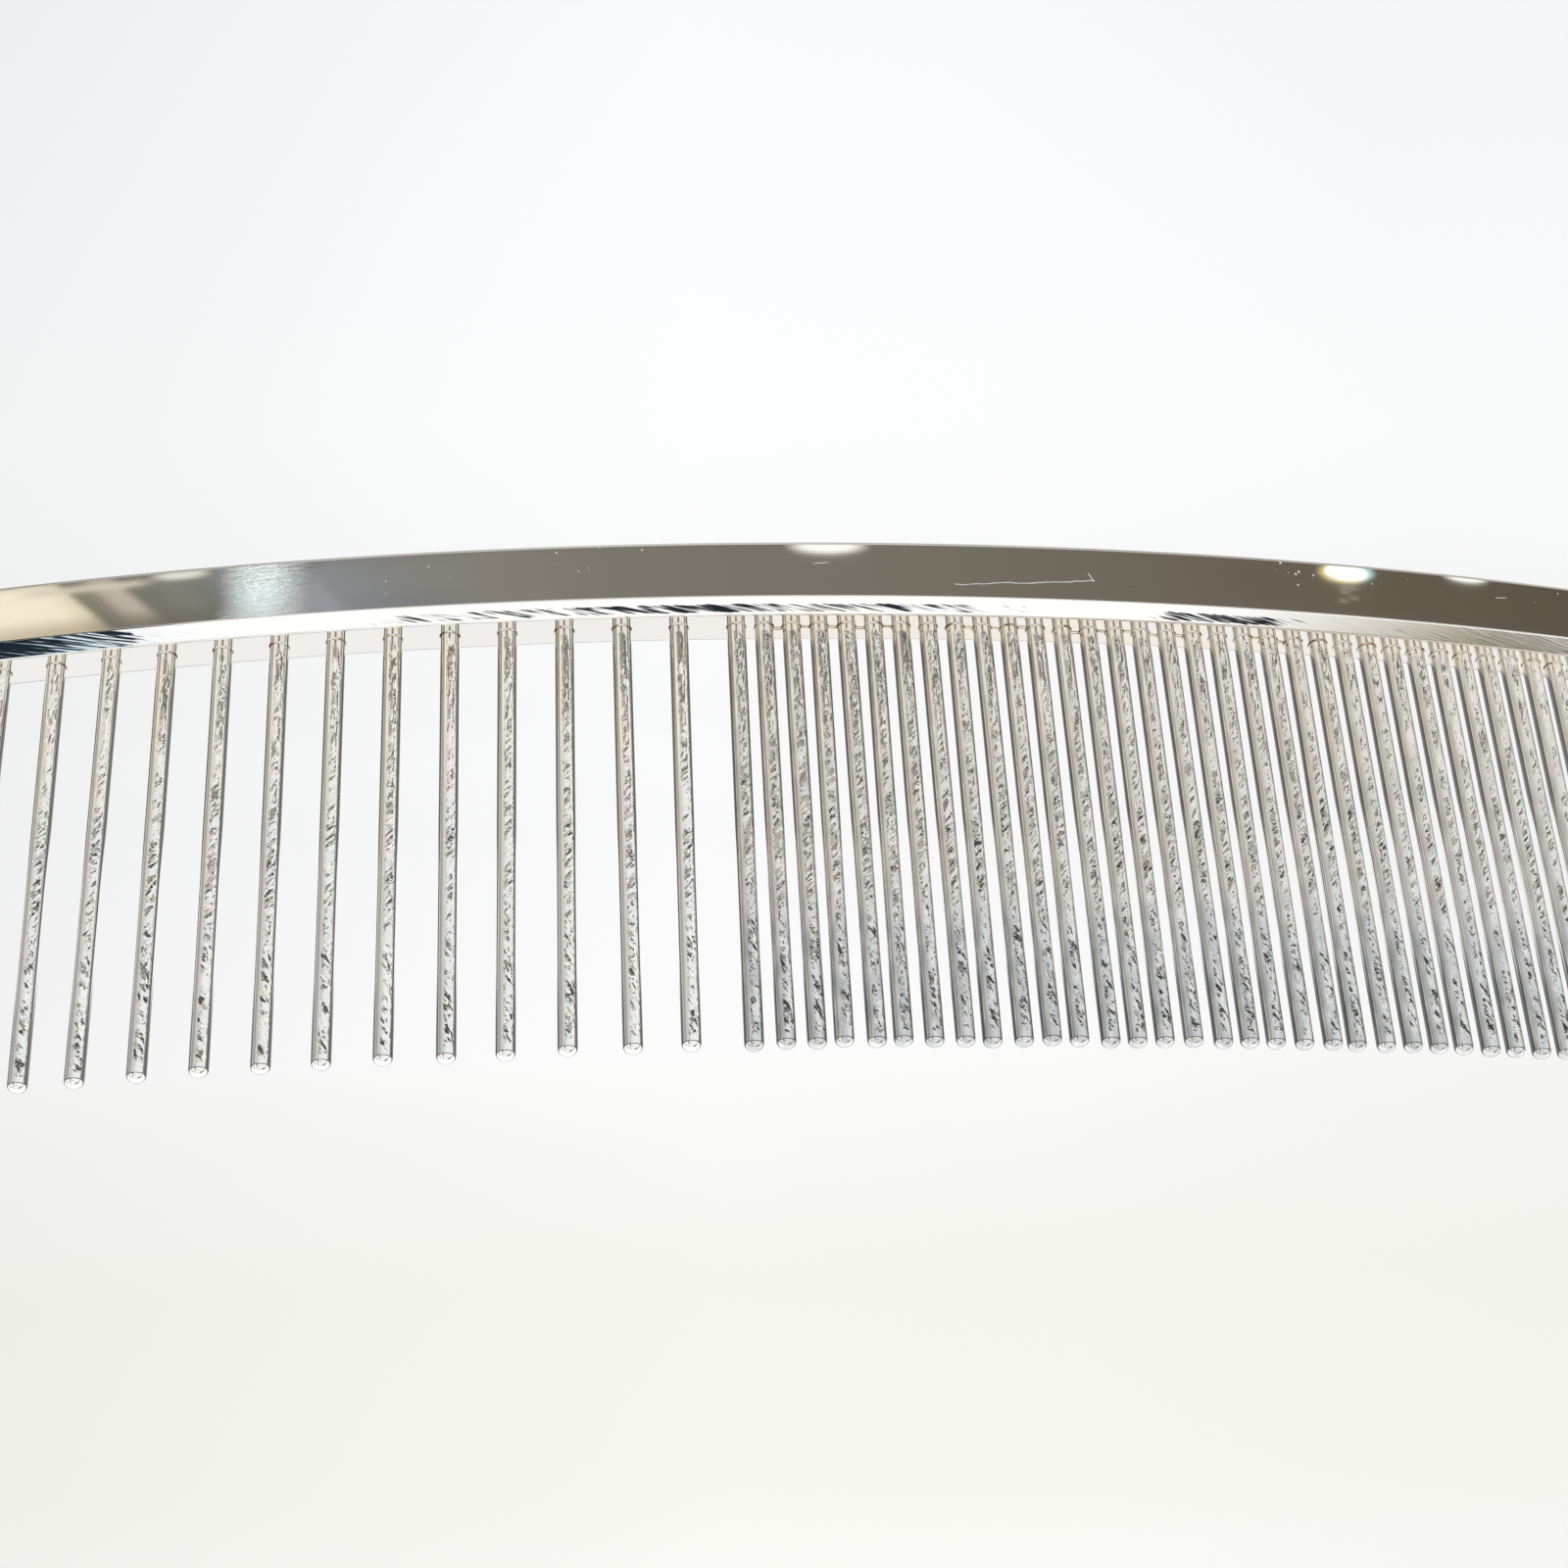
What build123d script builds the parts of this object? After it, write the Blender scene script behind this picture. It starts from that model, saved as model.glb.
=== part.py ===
"""Arched metal grooming comb: a bent spine bar with round pins soldered into blind holes."""
from build123d import *
import math
import os

# Driving dimensions, in millimetres. The comb lies on its two spine ends with the arch
# upwards (+Z), the spine along X, and its pins pointing towards -Y.
spine_radius = 250.0      # of the centreline of the bent bar
spine_length = 190.0      # along that centreline
spine_thickness = 5.0     # across the bend
spine_width = 5.2         # from the flat back to the side that holds the pins
tooth_bevel = 0.9         # on both long edges of the side that holds the pins
back_edge_round = 0.3     # on the edges of the flat back
end_corner_round = 1.8    # seen from the side of the bar

pin_diameter = 1.24
pin_reach = 30.0          # from the spine to the tip
pin_tip_round = 0.5       # leaves a small flat at the very tip
socket_depth = 3.5        # of the blind hole that holds a pin
socket_clearance = 0.01   # radial, filled by the solder

coarse_count = 24
coarse_pitch = 3.8
fine_count = 48
fine_pitch = 1.85
zone_gap = 3.85           # from the last coarse pin to the first fine pin
pins_per_fine_node = 2    # fine pins are drawn in pairs, one node for each pair

collar_size = 0.08        # of the solder fillet that rings a pin where it leaves the spine
collar_hollow = 0.36      # how far out its hollow face lies at the middle, as a share of its size

# Worked out from the dimensions above.
pin_radius = pin_diameter / 2
spine_half_angle = math.degrees(spine_length / 2 / spine_radius)
overall_depth = spine_width + pin_reach
back_y = overall_depth / 2
tooth_side_y = back_y - spine_width
coarse_stations = [-zone_gap / 2 - coarse_pitch * (coarse_count - 1 - i) for i in range(coarse_count)]
fine_stations = [zone_gap / 2 + fine_pitch * i for i in range(fine_count)]

os.makedirs("parts", exist_ok=True)


def write(part, name):
    """Labels a finished piece and writes its STEP file."""
    part.label = name
    export_step(part, f"parts/{name}.step")


# The spine's outline, seen along Y, about the centre of its arc.
outer_radius = spine_radius + spine_thickness / 2
inner_radius = spine_radius - spine_thickness / 2
first_angle = 90 - spine_half_angle
with BuildSketch() as spine_outline:
    with BuildLine():
        outer = CenterArc((0, 0), outer_radius, first_angle, 2 * spine_half_angle)
        inner = CenterArc((0, 0), inner_radius, first_angle, 2 * spine_half_angle)
        Line(outer @ 0, inner @ 0)
        Line(outer @ 1, inner @ 1)
    make_face()
    fillet(spine_outline.vertices(), radius=end_corner_round)

# The arc's centre lies this far below z = 0, so that the spine's ends rest on z = 0.
arc_centre_depth = spine_outline.sketch.bounding_box().min.Y


def side_plane(y):
    """The plane across Y at this height, facing the pin tips, with the arc's centre as its origin."""
    return Plane(origin=(0, y, -arc_centre_depth), x_dir=(1, 0, 0), z_dir=(0, -1, 0))


def station_plane(station, y):
    """The same plane, centred on the spine's centreline at a distance along it from mid-length."""
    angle = station / spine_radius
    along = spine_radius * math.sin(angle)
    up = spine_radius * math.cos(angle) - arc_centre_depth
    return Plane(origin=(along, y, up), x_dir=(1, 0, 0), z_dir=(0, -1, 0))


# Spine: a nearly square bar bent to an arc. The side that holds the pins is bevelled all round,
# the flat back has softened edges, and every pin has its own blind hole.
with BuildPart() as spine:
    with BuildSketch(side_plane(back_y)):
        add(spine_outline.sketch)
    extrude(amount=spine_width)
    chamfer(spine.faces().sort_by(Axis.Y)[0].edges(), length=tooth_bevel)
    fillet(spine.faces().sort_by(Axis.Y)[-1].edges(), radius=back_edge_round)
    with Locations([station_plane(s, tooth_side_y) for s in coarse_stations + fine_stations]):
        Hole(pin_radius + socket_clearance, depth=socket_depth)
write(spine.part, "spine")


def write_pins(name, stations):
    """Round wire pins that stand on the floors of their holes, with domed tips."""
    with BuildPart() as pins:
        with BuildSketch(*[station_plane(s, tooth_side_y + socket_depth) for s in stations]):
            Circle(pin_radius)
        extrude(amount=socket_depth + pin_reach)
        fillet(pins.faces().group_by(Axis.Y)[0].edges(), radius=pin_tip_round)
    write(pins.part, name)


for number, station in enumerate(coarse_stations, 1):
    write_pins(f"coarse_pin_{number:02d}", [station])

for first in range(0, fine_count, pins_per_fine_node):
    pair = fine_stations[first:first + pins_per_fine_node]
    write_pins(f"fine_pins_{first + 1:02d}_{first + pins_per_fine_node:02d}", pair)


def write_collars(name, stations):
    """Solder collars: the hollow fillet that solder draws into the corner of pin and spine."""
    with BuildPart() as collars:
        for station in stations:
            seat = station_plane(station, tooth_side_y)
            with BuildSketch(Plane(origin=seat.origin, x_dir=(1, 0, 0), z_dir=(0, 0, 1))):
                with BuildLine():
                    foot = Line((pin_radius, 0), (pin_radius + collar_size, 0))
                    wall = Line((pin_radius, 0), (pin_radius, -collar_size))
                    waist = collar_hollow * collar_size
                    ThreePointArc(foot @ 1, (pin_radius + waist, -waist), wall @ 1)
                make_face()
            revolve(axis=Axis(seat.origin, (0, 1, 0)))
    write(collars.part, name)


write_collars("coarse_solder_collars", coarse_stations)
write_collars("fine_solder_collars", fine_stations)
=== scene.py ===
"""Looks of an arched metal grooming comb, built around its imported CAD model."""
import math
import random

import bmesh
import bpy
from mathutils import Matrix, Vector


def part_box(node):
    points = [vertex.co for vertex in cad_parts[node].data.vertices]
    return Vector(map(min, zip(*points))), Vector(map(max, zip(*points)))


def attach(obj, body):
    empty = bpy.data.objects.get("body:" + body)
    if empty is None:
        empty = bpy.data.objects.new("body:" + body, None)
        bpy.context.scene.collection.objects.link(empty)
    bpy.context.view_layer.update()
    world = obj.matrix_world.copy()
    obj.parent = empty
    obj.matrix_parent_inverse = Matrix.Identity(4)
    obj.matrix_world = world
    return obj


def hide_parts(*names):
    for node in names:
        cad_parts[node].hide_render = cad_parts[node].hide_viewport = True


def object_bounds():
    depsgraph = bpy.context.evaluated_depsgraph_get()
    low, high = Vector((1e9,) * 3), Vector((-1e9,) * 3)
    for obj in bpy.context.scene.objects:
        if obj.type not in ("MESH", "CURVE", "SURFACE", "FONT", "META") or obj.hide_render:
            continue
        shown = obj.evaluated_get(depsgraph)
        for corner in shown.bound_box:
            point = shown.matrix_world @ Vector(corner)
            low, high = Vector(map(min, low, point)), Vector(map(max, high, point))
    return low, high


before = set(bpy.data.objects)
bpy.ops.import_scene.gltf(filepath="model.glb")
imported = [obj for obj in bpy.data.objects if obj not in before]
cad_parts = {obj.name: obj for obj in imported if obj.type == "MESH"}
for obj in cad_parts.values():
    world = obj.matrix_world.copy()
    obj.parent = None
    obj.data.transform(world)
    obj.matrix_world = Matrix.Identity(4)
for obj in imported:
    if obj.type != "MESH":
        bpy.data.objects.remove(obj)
cad_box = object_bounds()

# ---------------------------------------------------------------------------
# Spine. One brass bar, bent to an arc, ground to a bevel on the side that holds
# the pins, drilled with a blind hole for each pin, then mirror polished and
# nickel plated. All sizes are in metres.
# ---------------------------------------------------------------------------
MM = 0.001
BEND_RADIUS = 250 * MM
SPINE_LENGTH = 190 * MM
SPINE_THICKNESS = 5.0 * MM
TOOTH_BEVEL = 0.9 * MM
BACK_EDGE_ROUND = 0.3 * MM
END_CORNER_ROUND = 1.8 * MM
UPPER_ARRIS_ROUND = 0.07 * MM
LOWER_ARRIS_ROUND = 0.1 * MM
SPINE_STEPS = 240
SAME_PLANE = 0.001 * MM

spine_low, spine_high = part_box("spine")
spine_width = spine_high.y - spine_low.y
tooth_side = spine_low.y
crown = spine_high.z - SPINE_THICKNESS / 2
arc_centre_z = crown - BEND_RADIUS


def start_piece(name):
    """Names the primitive that was just added and goes into its edit mode with nothing selected."""
    piece = bpy.context.active_object
    piece.name = name
    piece.data.name = name
    bpy.ops.object.mode_set(mode="EDIT")
    bpy.ops.mesh.select_all(action="DESELECT")
    return piece


def pick(piece, kind, test):
    """Selects the vertices, edges or faces of the piece in edit mode that pass a test."""
    bpy.ops.mesh.select_mode(type=kind)
    bpy.ops.mesh.select_all(action="DESELECT")
    mesh = bmesh.from_edit_mesh(piece.data)
    group = {"VERT": mesh.verts, "EDGE": mesh.edges, "FACE": mesh.faces}[kind]
    group.ensure_lookup_table()
    for element in group:
        element.select = test(element)
    mesh.select_flush_mode()
    bmesh.update_edit_mesh(piece.data)


def run_of(edge):
    """The way from one end of an edge to the other."""
    return edge.verts[1].co - edge.verts[0].co


def rim_at(level):
    """A test for edges that lie flat in the plane at this height of a bar that is still straight."""
    def is_rim(edge):
        flat = all(abs(v.co.z - level) < SAME_PLANE for v in edge.verts)
        return flat and len(edge.link_faces) == 2 and any(abs(f.normal.z) < 0.5 for f in edge.link_faces)
    return is_rim


# The bar is shaped straight and bent afterwards: X along it, Y across the bend, Z towards the pins.
bpy.ops.object.select_all(action="DESELECT")
bpy.ops.mesh.primitive_cube_add(size=1)
bpy.context.active_object.dimensions = (SPINE_LENGTH, SPINE_THICKNESS, spine_width)
bpy.ops.object.transform_apply(location=True, rotation=True, scale=True)
spine = start_piece("comb_spine")
half_width = spine_width / 2
pick(spine, "EDGE", lambda e: abs(run_of(e).z) > 0.9 * spine_width)
bpy.ops.mesh.bevel(offset=END_CORNER_ROUND, segments=10, affect="EDGES")
pick(spine, "EDGE", rim_at(half_width))
bpy.ops.mesh.bevel(offset=TOOTH_BEVEL, segments=1, affect="EDGES")
pick(spine, "EDGE", rim_at(-half_width))
bpy.ops.mesh.bevel(offset=BACK_EDGE_ROUND, segments=5, affect="EDGES")
bevel_start = half_width - TOOTH_BEVEL


def arris_at(level):
    """A test for the rim of the ground bevel at this height."""
    return lambda edge: all(abs(v.co.z - level) < SAME_PLANE for v in edge.verts)


pick(spine, "EDGE", arris_at(half_width))
bpy.ops.mesh.bevel(offset=LOWER_ARRIS_ROUND, segments=3, affect="EDGES")
pick(spine, "EDGE", arris_at(bevel_start))
bpy.ops.mesh.bevel(offset=UPPER_ARRIS_ROUND, segments=4, affect="EDGES")
pick(spine, "EDGE", lambda e: abs(run_of(e).x) > SPINE_LENGTH / 2)
bpy.ops.mesh.subdivide(number_cuts=SPINE_STEPS - 1)
bpy.ops.object.mode_set(mode="OBJECT")

# Each pin gets a blind hole. The cutter is a row of round rods, one for each pin.
PIN_RADIUS = 0.62 * MM
SOCKET_CLEARANCE = 0.01 * MM
SOCKET_DEPTH = 3.5 * MM
SOCKET_SIDES = 24
COARSE_COUNT = 24
COARSE_PITCH = 3.8 * MM
FINE_COUNT = 48
FINE_PITCH = 1.85 * MM
ZONE_GAP = 3.85 * MM
coarse_stations = [-ZONE_GAP / 2 - COARSE_PITCH * i for i in reversed(range(COARSE_COUNT))]
fine_stations = [ZONE_GAP / 2 + FINE_PITCH * i for i in range(FINE_COUNT)]


def join(pieces, name):
    """Joins meshes into the first of them, under this name."""
    bpy.ops.object.select_all(action="DESELECT")
    for part in pieces:
        part.select_set(True)
    bpy.context.view_layer.objects.active = pieces[0]
    if len(pieces) > 1:
        bpy.ops.object.join()
    pieces[0].name = name
    pieces[0].data.name = name
    return pieces[0]


rods = []
for station in coarse_stations + fine_stations:
    bpy.ops.mesh.primitive_cylinder_add(
        vertices=SOCKET_SIDES, radius=PIN_RADIUS + SOCKET_CLEARANCE, depth=2 * SOCKET_DEPTH,
        location=(station, 0, half_width))
    rods.append(bpy.context.active_object)
cutter = join(rods, "socket_cutter")
bpy.ops.object.select_all(action="DESELECT")
bpy.context.view_layer.objects.active = spine
sockets = spine.modifiers.new("sockets", "BOOLEAN")
sockets.operation = "DIFFERENCE"
sockets.solver = "EXACT"
sockets.object = cutter
bpy.ops.object.modifier_apply(modifier="sockets")
bpy.data.objects.remove(cutter)

# The ground bevel takes the second material slot.
for face in spine.data.polygons:
    on_bevel = 0.6 < face.normal.z < 0.8 and face.center.z > bevel_start
    face.material_index = 1 if on_bevel else 0

# The straight place of each point is kept, so that polishing marks can follow the bent bar.
straight = spine.data.attributes.new("bar_place", "FLOAT_VECTOR", "POINT")
for vertex in spine.data.vertices:
    straight.data[vertex.index].vector = vertex.co

bend = spine.modifiers.new("bend", "SIMPLE_DEFORM")
bend.deform_method = "BEND"
bend.deform_axis = "Z"
bend.angle = -SPINE_LENGTH / BEND_RADIUS
bpy.ops.object.modifier_apply(modifier="bend")
spine.rotation_euler = (math.radians(90), 0, 0)
spine.location = (0, tooth_side + half_width, crown)
bpy.ops.object.transform_apply(location=True, rotation=True, scale=True)


def finish_faces(piece, angle):
    """Smooth faces with edges left sharp past this angle, and normals that follow the larger faces."""
    bpy.ops.object.select_all(action="DESELECT")
    piece.select_set(True)
    bpy.context.view_layer.objects.active = piece
    bpy.ops.object.shade_smooth_by_angle(angle=math.radians(angle))
    normals = piece.modifiers.new("normals", "WEIGHTED_NORMAL")
    normals.weight = 100
    normals.keep_sharp = True
    bpy.ops.object.modifier_apply(modifier="normals")


finish_faces(spine, 40)


def linear(hex_colour):
    """An sRGB hex colour as the linear RGBA that shaders take."""
    channels = [int(hex_colour[i:i + 2], 16) / 255 for i in (1, 3, 5)]
    return [c / 12.92 if c <= 0.04045 else ((c + 0.055) / 1.055) ** 2.4 for c in channels] + [1.0]


def add_node(tree, kind, inputs=None, stops=None, **settings):
    """Adds a shader node with its settings, sets or links its inputs, and places a ramp's stops."""
    node = tree.nodes.new("ShaderNode" + kind)
    for name, value in settings.items():
        setattr(node, name, value)
    for socket, value in (inputs or {}).items():
        if isinstance(value, bpy.types.NodeSocket):
            tree.links.new(value, node.inputs[socket])
        else:
            node.inputs[socket].default_value = value
    if stops:
        elements = node.color_ramp.elements
        while len(elements) < len(stops):
            elements.new(1.0)
        for element, (position, colour) in zip(elements, stops):
            element.position = position
            element.color = colour if isinstance(colour, list) else linear(colour)
    return node


def new_tree(name):
    """A material of this name with an empty node tree."""
    material = bpy.data.materials.new(name)
    material.use_nodes = True
    material.node_tree.nodes.clear()
    return material, material.node_tree


PLATE_COLOUR = "#EEEAE3"


def polished_plate():
    """Nickel plate over polished brass: a warm mirror. Hairlines run along the bar, one stretch of it was
    brushed by hand, and it has nicks near its back edge and a long scratch on its outer face, rough and with
    a painted white highlight."""
    material, tree = new_tree("mirror_polished_nickel_plate")
    bar = add_node(tree, "Attribute", attribute_name="bar_place")
    place = add_node(tree, "VectorMath", {0: bar.outputs["Vector"], "Scale": 1 / MM}, operation="SCALE")
    axes = add_node(tree, "SeparateXYZ", {"Vector": place.outputs["Vector"]})

    # Hairlines: 0.06 mm wide and some 8 mm long.
    drawn_out = add_node(tree, "Mapping", {"Vector": place.outputs["Vector"], "Scale": (8.0, 1.0, 0.06)},
                     vector_type="TEXTURE")
    hairlines = add_node(tree, "TexNoise", {"Vector": drawn_out.outputs["Vector"], "Scale": 1.0,
                                            "Detail": 3.0})

    # Brushed stretch: lines 0.16 mm wide and 1.5 mm long, from -33 to -24 mm along the bar, and strongest in
    # the middle of that.
    wavy = add_node(tree, "Mapping", {
        "Vector": place.outputs["Vector"], "Rotation": (0, math.radians(3), 0), "Scale": (1.5, 1.0, 0.16)},
                    vector_type="TEXTURE")
    brushed = add_node(tree, "TexNoise", {"Vector": wavy.outputs["Vector"], "Scale": 1.0, "Detail": 4.0,
                                          "Roughness": 0.6})
    from_middle = add_node(tree, "Math", {0: axes.outputs["X"], 1: 28.8}, operation="ADD")
    from_middle = add_node(tree, "Math", {0: from_middle.outputs["Value"]}, operation="ABSOLUTE")
    stretch = add_node(tree, "MapRange", {"Value": from_middle.outputs["Value"], "From Min": 4.5,
                                          "From Max": 2.0}, interpolation_type="SMOOTHSTEP")

    # Nicks: in a few of the cells, each 0.1 mm or so across. There are more of them towards the back edge,
    # and one close group near the right end.
    flat = add_node(tree, "CombineXYZ", {"X": axes.outputs["X"], "Y": axes.outputs["Z"]})
    cells = add_node(tree, "TexVoronoi", {"Vector": flat.outputs["Vector"], "Scale": 1 / 0.7},
                     voronoi_dimensions="2D")
    nick_kinds = add_node(tree, "SeparateColor", {"Color": cells.outputs["Color"]})
    groups = add_node(tree, "TexNoise", {"Vector": place.outputs["Vector"], "Scale": 0.12, "Detail": 2.0})
    near_back = add_node(tree, "MapRange", {"Value": axes.outputs["Z"], "From Min": 0.0, "From Max": -2.2,
                                            "To Min": 0.0, "To Max": 0.1})
    grouped = add_node(tree, "MapRange", {"Value": groups.outputs["Fac"], "From Min": 0.4, "From Max": 0.65,
                                          "To Min": -0.12, "To Max": 0.12})
    crowd = add_node(tree, "Math", {0: nick_kinds.outputs["Red"], 1: near_back.outputs["Result"]},
                     operation="ADD")
    crowd = add_node(tree, "Math", {0: crowd.outputs["Value"], 1: grouped.outputs["Result"]},
                     operation="ADD")
    from_group = add_node(tree, "VectorMath", {0: flat.outputs["Vector"], 1: (40.6, -1.9, 0.0)},
                          operation="DISTANCE")
    one_group = add_node(tree, "MapRange", {"Value": from_group.outputs["Value"], "From Min": 1.5,
                                            "From Max": 1.1, "To Max": 0.75})
    crowd = add_node(tree, "Math", {0: crowd.outputs["Value"], 1: one_group.outputs["Result"]},
                     operation="ADD")
    nick_size = add_node(tree, "MapRange", {"Value": crowd.outputs["Value"], "From Min": 0.99,
                                            "From Max": 1.2, "To Min": 0.0, "To Max": 0.13})
    nicks = add_node(tree, "Math", {0: cells.outputs["Distance"], 1: nick_size.outputs["Result"]},
                     operation="LESS_THAN")

    # Scratches: thin dashes up to 1.6 mm long, 5 degrees off the bar's line.
    slant = add_node(tree, "Mapping", {
        "Vector": place.outputs["Vector"], "Rotation": (0, math.radians(5), 0), "Scale": (8.0, 1.0, 0.4)},
                     vector_type="TEXTURE")
    dashes = add_node(tree, "TexVoronoi", {"Vector": slant.outputs["Vector"], "Scale": 1.0})
    dash_kinds = add_node(tree, "SeparateColor", {"Color": dashes.outputs["Color"]})
    dash_size = add_node(tree, "MapRange", {"Value": dash_kinds.outputs["Red"], "From Min": 0.82,
                                            "From Max": 1.0, "To Min": 0.0, "To Max": 0.1})
    scratches = add_node(tree, "Math", {0: dashes.outputs["Distance"], 1: dash_size.outputs["Result"]},
                         operation="LESS_THAN")

    # The long scratch runs from 16.5 to 26 mm along the outer face, and ends in a short tick.
    drift = add_node(tree, "MapRange", {"Value": axes.outputs["X"], "From Min": 16.5, "From Max": 26.0,
                                        "To Min": 0.4, "To Max": -0.1})
    shake = add_node(tree, "TexNoise", {"Vector": place.outputs["Vector"], "Scale": 0.6, "Detail": 2.0})
    level = add_node(tree, "Math", {0: shake.outputs["Fac"], 1: 0.5, 2: drift.outputs["Result"]},
                     operation="MULTIPLY_ADD")
    on_line = add_node(tree, "Math", {0: axes.outputs["Z"], 1: level.outputs["Value"], 2: 0.032},
                       operation="COMPARE")
    on_run = add_node(tree, "Math", {0: axes.outputs["X"], 1: 21.2, 2: 4.8}, operation="COMPARE")
    long_scratch = add_node(tree, "Math", {0: on_line.outputs["Value"], 1: on_run.outputs["Value"]},
                            operation="MULTIPLY")
    tick_slant = add_node(tree, "Math", {0: axes.outputs["Z"], 1: -0.5, 2: axes.outputs["X"]},
                          operation="MULTIPLY_ADD")
    on_tick = add_node(tree, "Math", {0: tick_slant.outputs["Value"], 1: 25.9, 2: 0.035},
                       operation="COMPARE")
    tick_run = add_node(tree, "Math", {0: axes.outputs["Z"], 1: -0.15, 2: 0.33}, operation="COMPARE")
    tick = add_node(tree, "Math", {0: on_tick.outputs["Value"], 1: tick_run.outputs["Value"]},
                    operation="MULTIPLY")
    outside = add_node(tree, "Math", {0: axes.outputs["Y"], 1: 0.0}, operation="GREATER_THAN")
    long_scratch = add_node(tree, "Math", {0: long_scratch.outputs["Value"], 1: tick.outputs["Value"]},
                            operation="MAXIMUM")
    long_scratch = add_node(tree, "Math", {0: long_scratch.outputs["Value"], 1: outside.outputs["Value"]},
                            operation="MULTIPLY")

    marks = add_node(tree, "Math", {0: nicks.outputs["Value"], 1: scratches.outputs["Value"]},
                     operation="MAXIMUM")
    marks = add_node(tree, "Math", {0: marks.outputs["Value"], 1: long_scratch.outputs["Value"]},
                     operation="MAXIMUM")
    roughness = add_node(tree, "MapRange", {"Value": marks.outputs["Value"], "To Min": 0.025,
                                            "To Max": 0.5})
    # The marks are rougher, and their colour is painted white as a highlight.
    colour = add_node(tree, "Mix", {
        0: marks.outputs["Value"], 6: linear(PLATE_COLOUR), 7: linear("#FFFFFF")}, data_type="RGBA")

    # A film of flux warms the plate between the fine pins.
    film = add_node(tree, "TexNoise", {"Vector": place.outputs["Vector"], "Scale": 0.35, "Detail": 2.0})
    on_pin_side = add_node(tree, "MapRange", {"Value": axes.outputs["Z"], "From Min": 2.55,
                                              "From Max": 2.59})
    fine_end = add_node(tree, "MapRange", {"Value": axes.outputs["X"], "From Min": 0.0, "From Max": 4.0})
    filmed = add_node(tree, "MapRange", {"Value": film.outputs["Fac"], "From Min": 0.3, "From Max": 0.6})
    warm = add_node(tree, "Math", {0: on_pin_side.outputs["Result"], 1: fine_end.outputs["Result"]},
                    operation="MULTIPLY")
    warm = add_node(tree, "Math", {0: warm.outputs["Value"], 1: filmed.outputs["Result"]},
                    operation="MULTIPLY")
    colour = add_node(tree, "Mix", {0: warm.outputs["Value"], 6: colour.outputs[2], 7: linear("#F1E8D9")},
                      data_type="RGBA")
    fine_bump = add_node(tree, "Bump", {"Height": hairlines.outputs["Fac"], "Strength": 0.05,
                                        "Distance": 0.001 * MM})
    bump = add_node(tree, "Bump", {"Height": brushed.outputs["Fac"], "Strength": stretch.outputs["Result"],
                                   "Distance": 0.0025 * MM, "Normal": fine_bump.outputs["Normal"]})
    shader = add_node(tree, "BsdfPrincipled", {
        "Base Color": colour.outputs[2], "Metallic": 1.0, "Roughness": roughness.outputs["Result"],
        "Normal": bump.outputs["Normal"]})
    add_node(tree, "OutputMaterial", {"Surface": shader.outputs["BSDF"]})
    return material


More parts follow.
